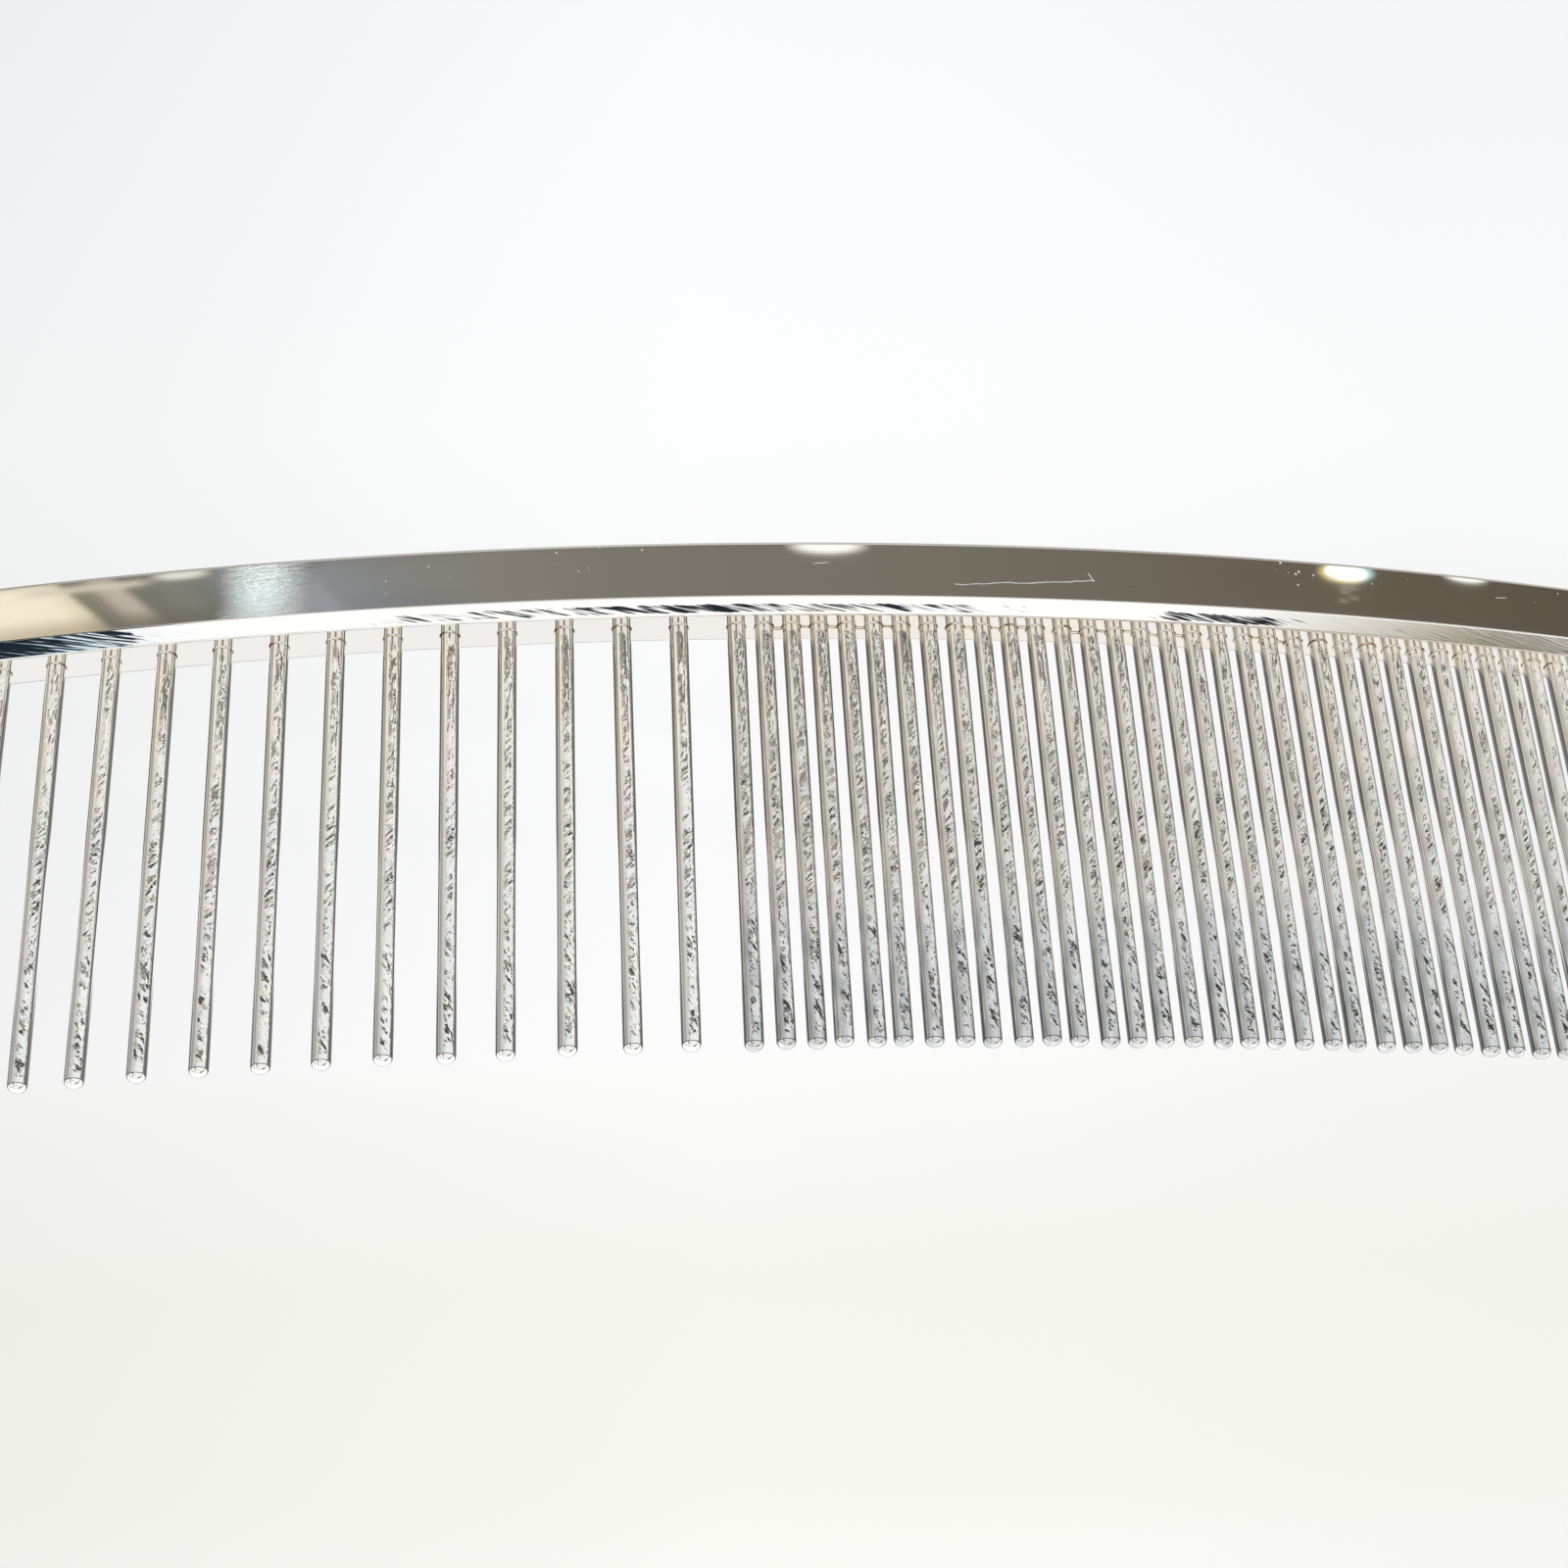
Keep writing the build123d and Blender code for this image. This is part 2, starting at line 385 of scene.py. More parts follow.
def ground_bevel():
    """The same plate over a belt-ground bevel. Slanting grinding marks show through the plate as bumps, and
    as a painted dark reflection where the belt bit. They are almost gone where the bevel was buffed out and
    along both of its rims."""
    material, tree = new_tree("nickel_plate_on_belt_ground_bevel")
    bar = add_node(tree, "Attribute", attribute_name="bar_place")
    place = add_node(tree, "VectorMath", {0: bar.outputs["Vector"], "Scale": 1 / MM}, operation="SCALE")
    axes = add_node(tree, "SeparateXYZ", {"Vector": place.outputs["Vector"]})

    # Marks: 0.08 mm wide and 3.5 mm long, at 9 degrees to the bar.
    slant = add_node(tree, "Mapping", {
        "Vector": place.outputs["Vector"], "Rotation": (0, math.radians(-9), 0), "Scale": (3.5, 1.0, 0.08)},
                     vector_type="TEXTURE")
    marks = add_node(tree, "TexNoise", {"Vector": slant.outputs["Vector"], "Scale": 1.0, "Detail": 2.0,
                                        "Roughness": 0.5})
    # How deep the marks are left, and so how much painted dark reflection they carry, along the bar from -60
    # to 60 mm.
    along = add_node(tree, "MapRange", {"Value": axes.outputs["X"], "From Min": -60.0, "From Max": 60.0})
    depths = [
        (-60, 0.78), (-45, 0.7), (-42, 0.58), (-38, 0.56), (-34, 0.0), (-24, 0.0), (-21, 0.46), (-9, 0.56),
        (-1, 0.61), (6, 0.54), (14, 0.52), (21, 0.45), (24, 0.0), (28.5, 0.0), (31, 0.585), (38, 0.64),
        (41, 0.35), (60, 0.4)]
    depth = add_node(tree, "ValToRGB", {"Fac": along.outputs["Result"]},
                     stops=[((x + 60) / 120, [d, d, d, 1.0]) for x, d in depths])
    # Across the bevel the marks keep clear of both rims, except near the left end.
    across = add_node(tree, "MapRange", {"Value": axes.outputs["Z"], "From Min": 1.7, "From Max": 2.6})
    clear = add_node(tree, "ValToRGB", {"Fac": across.outputs["Result"]}, stops=[
        (0.25, [0.0, 0.0, 0.0, 1.0]), (0.45, [1.0, 1.0, 1.0, 1.0]), (0.8, [1.0, 1.0, 1.0, 1.0]),
        (0.95, [0.3, 0.3, 0.3, 1.0])])
    whole = add_node(tree, "MapRange", {"Value": axes.outputs["X"], "From Min": -34.0, "From Max": -38.0})
    clear = add_node(tree, "Math", {0: clear.outputs["Color"], 1: whole.outputs["Result"]},
                     operation="MAXIMUM")
    kept = add_node(tree, "Math", {0: depth.outputs["Color"], 1: clear.outputs["Value"]},
                    operation="MULTIPLY")
    cut = add_node(tree, "Math", {0: marks.outputs["Fac"], 1: kept.outputs["Value"]}, operation="ADD")
    grooves_painted_dark = add_node(tree, "MapRange", {"Value": cut.outputs["Value"], "From Min": 1.0, "From Max": 1.1})
    # Painted reflection: the grooves get a near-black base colour for the dark room that they mirror, not the
    # plate's own colour.
    colour = add_node(tree, "Mix", {0: grooves_painted_dark.outputs["Result"], 6: linear("#F6F5F3"),
                                    7: linear("#232B33")}, data_type="RGBA")
    roughness = add_node(tree, "MapRange", {"Value": grooves_painted_dark.outputs["Result"], "To Min": 0.1,
                                            "To Max": 0.3})
    bump = add_node(tree, "Bump", {"Height": marks.outputs["Fac"], "Strength": 0.2, "Distance": 0.03 * MM})
    shader = add_node(tree, "BsdfPrincipled", {
        "Base Color": colour.outputs[2], "Metallic": 1.0, "Roughness": roughness.outputs["Result"],
        "Normal": bump.outputs["Normal"]})
    add_node(tree, "OutputMaterial", {"Surface": shader.outputs["BSDF"]})
    return material


spine.data.materials.append(polished_plate())
spine.data.materials.append(ground_bevel())
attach(spine, "root")
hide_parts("spine")

# ---------------------------------------------------------------------------
# Pins. Straight steel wire, cut to length, domed at the tip, pushed to the
# floor of its blind hole and plated. The wire is bright at the root and rubbed
# below it, where slanting marks and cloudy patches cover one side of it.
# ---------------------------------------------------------------------------
PIN_SIDES = 40
TIP_ROUND = 0.5 * MM
PINS_PER_PIECE = 2
MOST_LEAN = 0.12 * MM
MOST_SHORT = 0.12 * MM
tip_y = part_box("coarse_pin_12")[0].y
hole_floor = tooth_side + SOCKET_DEPTH

bpy.ops.object.select_all(action="DESELECT")
bpy.ops.mesh.primitive_cylinder_add(
    vertices=PIN_SIDES, radius=PIN_RADIUS, depth=hole_floor - tip_y,
    location=(0, (hole_floor + tip_y) / 2, 0), rotation=(math.radians(90), 0, 0))
bpy.ops.object.transform_apply(location=True, rotation=True, scale=True)
pin = start_piece("pin_blank")


def end_rim(edge):
    """The rim of the pin's end face."""
    return all(abs(v.co.y - tip_y) < SAME_PLANE for v in edge.verts)


pick(pin, "EDGE", end_rim)
bpy.ops.mesh.bevel(offset=TIP_ROUND, segments=8, affect="EDGES")
bpy.ops.object.mode_set(mode="OBJECT")
finish_faces(pin, 50)

# How far round the wire each point is, from -1 on its left to 1 on its right.
wire_side = pin.data.attributes.new("wire_side", "FLOAT", "POINT")
for vertex in pin.data.vertices:
    wire_side.data[vertex.index].value = vertex.co.x / PIN_RADIUS


def rubbed_wire():
    """Plated steel wire, smooth at its root, at its tip and along both of its sides. The rest was rubbed, and
    facets 0.12 to 0.17 mm wide and 0.55 to 0.65 mm long break the mirror into light and dark flecks."""
    material, tree = new_tree("rubbed_nickel_plated_wire")
    where = add_node(tree, "TexCoord")
    place = add_node(tree, "VectorMath", {0: where.outputs["Object"], "Scale": 1 / MM}, operation="SCALE")
    axes = add_node(tree, "SeparateXYZ", {"Vector": place.outputs["Vector"]})
    root_y = tooth_side / MM
    root_fade = add_node(tree, "MapRange", {"Value": axes.outputs["Y"], "From Min": root_y - 0.2,
                                            "From Max": root_y - 1.2}, interpolation_type="SMOOTHSTEP")
    below_root = root_fade.outputs["Result"]
    short_of_tip = add_node(tree, "MapRange", {"Value": axes.outputs["Y"], "From Min": tip_y / MM + 0.7,
                                               "From Max": tip_y / MM + 1.2},
                            interpolation_type="SMOOTHSTEP")
    side = add_node(tree, "Attribute", attribute_name="wire_side")
    rubbed_side = add_node(tree, "MapRange", {"Value": side.outputs["Fac"], "From Min": -0.38,
                                              "From Max": -0.1}, interpolation_type="SMOOTHSTEP")
    worn = add_node(tree, "Math", {0: below_root, 1: short_of_tip.outputs["Result"]},
                    operation="MULTIPLY")
    worn = add_node(tree, "Math", {0: worn.outputs["Value"], 1: rubbed_side.outputs["Result"]},
                    operation="MULTIPLY")
    other_side = add_node(tree, "MapRange", {"Value": side.outputs["Fac"], "From Min": 0.85,
                                             "From Max": 0.6}, interpolation_type="SMOOTHSTEP")
    worn = add_node(tree, "Math", {0: worn.outputs["Value"], 1: other_side.outputs["Result"]},
                    operation="MULTIPLY")

    # Facets: cells whose flat floors tilt by chance. Near the root they run along the wire, further down
    # they slant one way, and near the tip they are wider and slant the other way.
    heights = []
    for turned, size in ((-8, (0.12, 0.6, 0.4)), (-40, (0.14, 0.65, 0.45)), (32, (0.17, 0.55, 0.4))):
        drawn = add_node(tree, "Mapping", {"Vector": place.outputs["Vector"],
                                           "Rotation": (0, 0, math.radians(turned)), "Scale": size},
                         vector_type="TEXTURE")
        wander = add_node(tree, "TexNoise", {"Vector": place.outputs["Vector"], "Scale": 2.0})
        bent = add_node(tree, "VectorMath", {0: wander.outputs["Color"], 1: (0.8, 0.8, 0.8),
                                             2: drawn.outputs["Vector"]}, operation="MULTIPLY_ADD")
        cells = add_node(tree, "TexVoronoi", {"Vector": bent.outputs["Vector"], "Scale": 1.0})
        tilt = add_node(tree, "VectorMath", {0: cells.outputs["Color"], 1: (0.5, 0.5, 0.5)},
                        operation="SUBTRACT")
        offset = add_node(tree, "VectorMath", {0: bent.outputs["Vector"], 1: cells.outputs["Position"]},
                          operation="SUBTRACT")
        heights.append(add_node(tree, "VectorMath", {
            0: tilt.outputs["Vector"], 1: offset.outputs["Vector"]}, operation="DOT_PRODUCT"))

    # The rubbing is deeper in patches 2 mm or so across, and gentler between them, most of all by the root.
    clouds = add_node(tree, "TexNoise", {"Vector": place.outputs["Vector"], "Scale": 0.5, "Detail": 3.0})
    calm = add_node(tree, "MapRange", {"Value": axes.outputs["Y"], "From Min": -2.0, "From Max": 6.0,
                                       "To Min": 0.55, "To Max": 0.15})
    cloudy = add_node(tree, "MapRange", {"Value": clouds.outputs["Fac"], "From Min": 0.4, "From Max": 0.58,
                                         "To Min": calm.outputs["Result"], "To Max": 1.0})
    lower = add_node(tree, "MapRange", {"Value": axes.outputs["Y"], "From Min": 8.0, "From Max": -2.0})
    mixed = add_node(tree, "Mix", {0: lower.outputs["Result"], 2: heights[0].outputs["Value"],
                                   3: heights[1].outputs["Value"]})
    near_tip = add_node(tree, "MapRange", {"Value": axes.outputs["Y"], "From Min": -6.0, "From Max": -10.0})
    mixed = add_node(tree, "Mix", {0: near_tip.outputs["Result"], 2: mixed.outputs["Result"],
                                   3: heights[2].outputs["Value"]})
    depth = add_node(tree, "Math", {0: cloudy.outputs["Result"], 1: worn.outputs["Value"]},
                     operation="MULTIPLY")
    # The coarse pins are rubbed less, and least of all near the spine.
    coarse_end = add_node(tree, "MapRange", {"Value": axes.outputs["X"], "From Min": 1.0, "From Max": -1.0})
    spared = add_node(tree, "MapRange", {"Value": axes.outputs["Y"], "From Min": -4.0, "From Max": 6.0,
                                         "To Min": 0.15, "To Max": 0.5})
    less = add_node(tree, "Math", {0: coarse_end.outputs["Result"], 1: spared.outputs["Result"]},
                    operation="MULTIPLY")
    kept = add_node(tree, "Math", {0: 1.0, 1: less.outputs["Value"]}, operation="SUBTRACT")
    depth = add_node(tree, "Math", {0: depth.outputs["Value"], 1: kept.outputs["Value"]},
                     operation="MULTIPLY")
    height = add_node(tree, "Math", {0: mixed.outputs["Result"], 1: depth.outputs["Value"]},
                      operation="MULTIPLY")
    bump = add_node(tree, "Bump", {"Height": height.outputs["Value"], "Strength": 1.0,
                                   "Distance": 0.095 * MM})
    roughness = add_node(tree, "MapRange", {"Value": depth.outputs["Value"], "To Min": 0.05,
                                            "To Max": 0.08})

    # The plate is warm towards the root of some pins, where flux has stained it.
    stain = add_node(tree, "TexNoise", {"Vector": place.outputs["Vector"], "Scale": 0.16, "Detail": 2.0})
    upper = add_node(tree, "MapRange", {"Value": axes.outputs["Y"], "From Min": -2.0, "From Max": root_y})
    stained = add_node(tree, "MapRange", {"Value": stain.outputs["Fac"], "From Min": 0.48, "From Max": 0.62,
                                          "To Max": 0.3})
    warm = add_node(tree, "Math", {0: stained.outputs["Result"], 1: upper.outputs["Result"]},
                    operation="MULTIPLY")
    warm = add_node(tree, "Math", {0: warm.outputs["Value"], 1: below_root}, operation="MULTIPLY")
    tone = add_node(tree, "Mix", {0: warm.outputs["Value"], 6: linear("#EEEBE6"), 7: linear("#F0E5CA")},
                    data_type="RGBA")
    # The fine pins are duller, in patches 0.5 mm wide and 2 mm long, and dullest near their tips.
    long_patches = add_node(tree, "Mapping", {"Vector": place.outputs["Vector"], "Scale": (0.5, 2.0, 0.5)},
                            vector_type="TEXTURE")
    patches = add_node(tree, "TexNoise", {"Vector": long_patches.outputs["Vector"], "Scale": 1.0,
                                          "Detail": 2.0})
    dulled = add_node(tree, "MapRange", {"Value": patches.outputs["Fac"], "From Min": 0.35, "From Max": 0.65,
                                         "To Min": 0.3, "To Max": 1.0})
    fine_end = add_node(tree, "MapRange", {"Value": axes.outputs["X"], "From Min": -1.0, "From Max": 1.0})
    dull = add_node(tree, "Math", {0: dulled.outputs["Result"], 1: fine_end.outputs["Result"]},
                    operation="MULTIPLY")
    dull = add_node(tree, "Math", {0: dull.outputs["Value"], 1: below_root}, operation="MULTIPLY")
    dullest = add_node(tree, "Mix", {
        0: near_tip.outputs["Result"], 6: linear("#D4D0CA"), 7: linear("#C0C0BF")}, data_type="RGBA")
    tone = add_node(tree, "Mix", {0: dull.outputs["Value"], 6: tone.outputs[2], 7: dullest.outputs[2]},
                    data_type="RGBA")
    shader = add_node(tree, "BsdfPrincipled", {
        "Base Color": tone.outputs[2], "Metallic": 1.0, "Roughness": roughness.outputs["Result"],
        "Normal": bump.outputs["Normal"]})
    add_node(tree, "OutputMaterial", {"Surface": shader.outputs["BSDF"]})
    return material


pin.data.materials.clear()
pin.data.materials.append(rubbed_wire())
chance = random.Random(5)


def set_pin(station, name):
    """A pin in its hole, with the small lean and shortness of pins that are set by hand."""
    angle = station / BEND_RADIUS
    root = Vector((BEND_RADIUS * math.sin(angle), tooth_side, arc_centre_z + BEND_RADIUS * math.cos(angle)))
    reach = tooth_side - tip_y
    lean = Matrix.Identity(4)
    lean[0][1] = chance.uniform(-MOST_LEAN, MOST_LEAN) / reach
    lean[2][1] = chance.uniform(-MOST_LEAN, MOST_LEAN) / reach
    lean[1][1] = 1 - chance.uniform(0, MOST_SHORT) / reach
    to_root = Matrix.Translation((0, -tooth_side, 0))
    copy = bpy.data.objects.new(name, pin.data.copy())
    copy.data.name = name
    copy.data.transform(Matrix.Translation(root) @ lean @ to_root)
    bpy.context.scene.collection.objects.link(copy)
    return copy


for number, station in enumerate(coarse_stations, start=1):
    coarse_pin = set_pin(station, f"coarse_wire_{number:02d}")
    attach(coarse_pin, "root")
    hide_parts(f"coarse_pin_{number:02d}")

for first in range(0, FINE_COUNT, PINS_PER_PIECE):
    numbers = f"{first + 1:02d}_{first + PINS_PER_PIECE:02d}"
    together = [set_pin(station, "fine_wire") for station in fine_stations[first:first + PINS_PER_PIECE]]
    fine_pins = join(together, f"fine_wires_{numbers}")
    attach(fine_pins, "root")
    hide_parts(f"fine_pins_{numbers}")
bpy.data.objects.remove(pin)

# ---------------------------------------------------------------------------
# Solder. A small hollow collar of tin solder seals each pin where it leaves the
# spine. It was plated with the comb, and amber flux has stayed in a few of them.
# ---------------------------------------------------------------------------


def fluxed_solder():
    """Tin solder under the plate: nearly as bright as the pins, with amber flux left on its two sides."""
    material, tree = new_tree("tin_solder_with_flux")
    where = add_node(tree, "TexCoord")
    place = add_node(tree, "VectorMath", {0: where.outputs["Object"], "Scale": 1 / MM}, operation="SCALE")
    flux = add_node(tree, "TexNoise", {"Vector": place.outputs["Vector"], "Scale": 1.4, "Detail": 3.0})
    surface = add_node(tree, "NewGeometry")
    facing = add_node(tree, "SeparateXYZ", {"Vector": surface.outputs["Normal"]})
    sideways = add_node(tree, "Math", {0: facing.outputs["X"]}, operation="ABSOLUTE")
    stained = add_node(tree, "Math", {0: sideways.outputs["Value"], 1: 0.22, 2: flux.outputs["Fac"]},
                       operation="MULTIPLY_ADD")
    colour = add_node(tree, "ValToRGB", {"Fac": stained.outputs["Value"]},
                      stops=[(0.58, "#E4E0D8"), (0.66, "#B9A57F"), (0.76, "#7A5F3C")])
    shader = add_node(tree, "BsdfPrincipled", {
        "Base Color": colour.outputs["Color"], "Metallic": 1.0, "Roughness": 0.2})
    add_node(tree, "OutputMaterial", {"Surface": shader.outputs["BSDF"]})
    return material


solder = fluxed_solder()
for name in ("coarse_solder_collars", "fine_solder_collars"):
    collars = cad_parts[name]
    collars.data.materials.clear()
    collars.data.materials.append(solder)

# ---------------------------------------------------------------------------
# Flux threads. Flux that ran between neighbouring fine pins has dried there as
# thin amber threads, each sagging a little away from the spine.
# ---------------------------------------------------------------------------
THREAD_RADIUS = 0.03 * MM
THREAD_SIDES = 8
THREAD_LENGTH = FINE_PITCH - 1.8 * PIN_RADIUS
THREAD_STEPS = 10
THREAD_SAG = math.radians(24)
THREAD_FROM_SPINE = (0.05 * MM, 0.09 * MM)
THREAD_RISE = (-0.2 * MM, 0.3 * MM)
THREADED_SHARE = 0.6
FIRST_STATION = 3 * MM
LAST_STATION = 40 * MM
bpy.ops.object.select_all(action="DESELECT")
bpy.ops.mesh.primitive_cylinder_add(
    vertices=THREAD_SIDES, radius=THREAD_RADIUS, depth=THREAD_LENGTH, rotation=(0, math.radians(90), 0))
bpy.ops.object.transform_apply(location=True, rotation=True, scale=True)
thread = start_piece("thread_blank")
pick(thread, "EDGE", lambda e: abs(run_of(e).x) > THREAD_RADIUS)
bpy.ops.mesh.subdivide(number_cuts=THREAD_STEPS - 1)
bpy.ops.object.mode_set(mode="OBJECT")
sag = thread.modifiers.new("sag", "SIMPLE_DEFORM")
sag.deform_method = "BEND"
sag.deform_axis = "Z"
sag.angle = THREAD_SAG
bpy.ops.object.modifier_apply(modifier="sag")
bpy.ops.object.shade_smooth_by_angle(angle=math.radians(60))


def dried_flux():
    """Dried rosin flux: amber to brown and glossy."""
    material, tree = new_tree("dried_amber_flux")
    where = add_node(tree, "TexCoord")
    place = add_node(tree, "VectorMath", {0: where.outputs["Object"], "Scale": 1 / MM}, operation="SCALE")
    shade = add_node(tree, "TexNoise", {"Vector": place.outputs["Vector"], "Scale": 1.1, "Detail": 2.0})
    colour = add_node(tree, "ValToRGB", {"Fac": shade.outputs["Fac"]},
                      stops=[(0.35, "#8A6A3C"), (0.5, "#B59A6A"), (0.65, "#D6C8A6")])
    shader = add_node(tree, "BsdfPrincipled", {
        "Base Color": colour.outputs["Color"], "Roughness": 0.25, "IOR": 1.53})
    add_node(tree, "OutputMaterial", {"Surface": shader.outputs["BSDF"]})
    return material


thread.data.materials.append(dried_flux())
threads = []
for station in fine_stations[:-1]:
    between = station + FINE_PITCH / 2
    if FIRST_STATION < between < LAST_STATION and chance.random() < THREADED_SHARE:
        angle = between / BEND_RADIUS
        place = Vector((BEND_RADIUS * math.sin(angle), tooth_side - chance.uniform(*THREAD_FROM_SPINE),
                        arc_centre_z + BEND_RADIUS * math.cos(angle) + chance.uniform(*THREAD_RISE)))
        copy = bpy.data.objects.new("flux_thread", thread.data.copy())
        copy.data.transform(Matrix.Translation(place) @ Matrix.Rotation(angle, 4, "Y"))
        bpy.context.scene.collection.objects.link(copy)
        threads.append(copy)
bpy.data.objects.remove(thread)
flux_threads = join(threads, "flux_threads")
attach(flux_threads, "root")

# ---------------------------------------------------------------------------
# Table. A pale table that the comb lies on, with painted light. For the camera it emits light that takes away
# most
# # of the comb's shadow, and it is brightest under the comb. Mirrors see a painted reflection of it.
# ---------------------------------------------------------------------------
TABLE_SIZE = 4
bpy.ops.object.select_all(action="DESELECT")
bpy.ops.mesh.primitive_plane_add(size=TABLE_SIZE, location=(0, 0, cad_box[0][2]))
table = bpy.context.active_object
table.name = "table_with_painted_glow"


def table_with_painted_light():
    """A pale diffuse table with painted light. For the camera it emits light, more in the middle, which fills
    in the shadow.
    A mirror sees a painted reflection: white close by, in front of the comb and in one strip under it, light
    grey behind it, and dim elsewhere. The dim parts are painted shade that outlines the pins."""
    material, tree = new_tree("table_with_painted_light_and_reflection")
    rays = add_node(tree, "LightPath")
    where = add_node(tree, "TexCoord")
    place = add_node(tree, "VectorMath", {0: where.outputs["Object"], "Scale": 1 / MM}, operation="SCALE")
    axes = add_node(tree, "SeparateXYZ", {"Vector": place.outputs["Vector"]})
    depth = add_node(tree, "MapRange", {"Value": axes.outputs["Y"], "From Min": -47.0, "From Max": 88.0})
    painted_tint = add_node(tree, "ValToRGB", {"Fac": depth.outputs["Result"]}, stops=[
        (0.0, "#FAFAF5"), (0.06, "#F8F8F1"), (0.15, "#F7F7F0"), (0.22, "#FAFBF6"), (0.27, "#FFFFFE"),
        (0.4, "#FEFFFE"), (0.66, "#FEFFFE"), (1.0, "#F9FAFD")])
    side = add_node(tree, "MapRange", {"Value": axes.outputs["X"], "From Min": -60.0, "From Max": 60.0})
    painted_glow_level = add_node(tree, "ValToRGB", {"Fac": side.outputs["Result"]}, stops=[
        (0.0, [0.77, 0.77, 0.77, 1.0]), (0.3, [0.84, 0.84, 0.84, 1.0]), (0.5, [0.875, 0.875, 0.875, 1.0]),
        (0.7, [0.87, 0.87, 0.87, 1.0]), (1.0, [0.84, 0.84, 0.84, 1.0])])
    table_diffuse = add_node(tree, "BsdfDiffuse", {"Color": linear("#67676A")})
    # Painted light: for camera rays the table emits light, brighter in the middle, which fills in the comb's
    # shadow.
    bright = add_node(tree, "Emission", {"Color": painted_tint.outputs["Color"], "Strength": painted_glow_level.outputs["Color"]})
    seen = add_node(tree, "AddShader", {0: table_diffuse.outputs["BSDF"], 1: bright.outputs["Emission"]})
    # Painted reflection for glossy rays: white within a short reach and dim further off, which paints dark
    # outlines on the pins.
    reach = add_node(tree, "MapRange", {"Value": rays.outputs["Ray Length"], "From Max": 100 * MM})
    near = add_node(tree, "ValToRGB", {"Fac": reach.outputs["Result"]}, stops=[
        (0.26, [1.0, 1.0, 1.0, 1.0]), (0.3, [0.1, 0.1, 0.1, 1.0]), (0.45, [0.12, 0.12, 0.12, 1.0]),
        (0.8, [0.26, 0.26, 0.26, 1.0])])
    # The strip of painted reflection that the flat side of the spine mirrors.
    strip_front = add_node(tree, "MapRange", {"Value": axes.outputs["Y"], "From Min": -6.0,
                                              "From Max": -3.0})
    strip_back = add_node(tree, "MapRange", {"Value": axes.outputs["Y"], "From Min": 8.5,
                                             "From Max": 6.0})
    strip = add_node(tree, "Math", {0: strip_front.outputs["Result"], 1: strip_back.outputs["Result"]},
                     operation="MULTIPLY")
    strip = add_node(tree, "Math", {0: strip.outputs["Value"], 1: 0.27}, operation="MAXIMUM")
    near = add_node(tree, "Math", {0: near.outputs["Color"], 1: strip.outputs["Value"]},
                    operation="MINIMUM")
    back = add_node(tree, "MapRange", {"Value": axes.outputs["Y"], "From Min": 38.0, "From Max": 50.0,
                                       "To Max": 0.65}, interpolation_type="SMOOTHSTEP")
    fore = add_node(tree, "MapRange", {"Value": axes.outputs["Y"], "From Min": -18.5, "From Max": -21.0,
                                       "To Max": 1.25}, interpolation_type="SMOOTHSTEP")
    either = add_node(tree, "Math", {0: near.outputs["Value"], 1: back.outputs["Result"]},
                      operation="MAXIMUM")
    either = add_node(tree, "Math", {0: either.outputs["Value"], 1: fore.outputs["Result"]},
                      operation="MAXIMUM")
    painted_reflection = add_node(tree, "Emission", {"Color": [1.02, 1.04, 1.07, 1.0],
                                           "Strength": either.outputs["Value"]})
    first = add_node(tree, "MixShader", {0: rays.outputs["Is Camera Ray"], 1: table_diffuse.outputs["BSDF"],
                                         2: seen.outputs["Shader"]})
    second = add_node(tree, "MixShader", {0: rays.outputs["Is Glossy Ray"], 1: first.outputs["Shader"],
                                          2: painted_reflection.outputs["Emission"]})
    add_node(tree, "OutputMaterial", {"Surface": second.outputs["Shader"]})
    return material


table.data.materials.append(table_with_painted_light())

# ---------------------------------------------------------------------------
# Room, lamp and camera. The room is white in front, dim overhead, with cream
# walls and posts to the left, a cold window, and a few small bright panels.
# ---------------------------------------------------------------------------
world = bpy.data.worlds.new("room")
bpy.context.scene.world = world
world.use_nodes = True
room = world.node_tree
room.nodes.clear()
rays = add_node(room, "LightPath")
where = add_node(room, "TexCoord")
axes = add_node(room, "SeparateXYZ", {"Vector": where.outputs["Generated"]})

# Turn is the angle from straight up towards the right, in degrees. Rise goes from 0 to 1 over the band of
# directions that the spine's outer face mirrors, which bows with the turn.
FACE_BOW = 2.0e-5
FACE_LOW = 0.515
FACE_HIGH = 0.5375
turned = add_node(room, "Math", {0: axes.outputs["X"], 1: axes.outputs["Z"]}, operation="ARCTAN2")
turned = add_node(room, "Math", {0: turned.outputs["Value"], 1: math.degrees(1)}, operation="MULTIPLY")
turn = turned.outputs["Value"]
square = add_node(room, "Math", {0: turn, 1: turn}, operation="MULTIPLY")
bowed = add_node(room, "Math", {0: square.outputs["Value"], 1: FACE_BOW, 2: axes.outputs["Y"]},
                 operation="MULTIPLY_ADD")
risen = add_node(room, "MapRange", {"Value": bowed.outputs["Value"], "From Min": FACE_LOW,
                                    "From Max": FACE_HIGH}, clamp=False)
rise = risen.outputs["Result"]


def wall(low, high, stops, along):
    """Colours placed by their degrees, from the low to the high one."""
    share = add_node(room, "MapRange", {"Value": along, "From Min": low, "From Max": high})
    placed = [((degrees - low) / (high - low), colour) for degrees, colour in stops]
    return add_node(room, "ValToRGB", {"Fac": share.outputs["Result"]}, stops=placed).outputs["Color"]


def blend(place, start, end, first, second):
    """One part of the room giving way to another between two places."""
    share = add_node(room, "MapRange", {"Value": place, "From Min": start, "From Max": end},
                     interpolation_type="SMOOTHSTEP")
    return add_node(room, "Mix", {0: share.outputs["Result"], 6: first, 7: second},
                    data_type="RGBA").outputs[2]


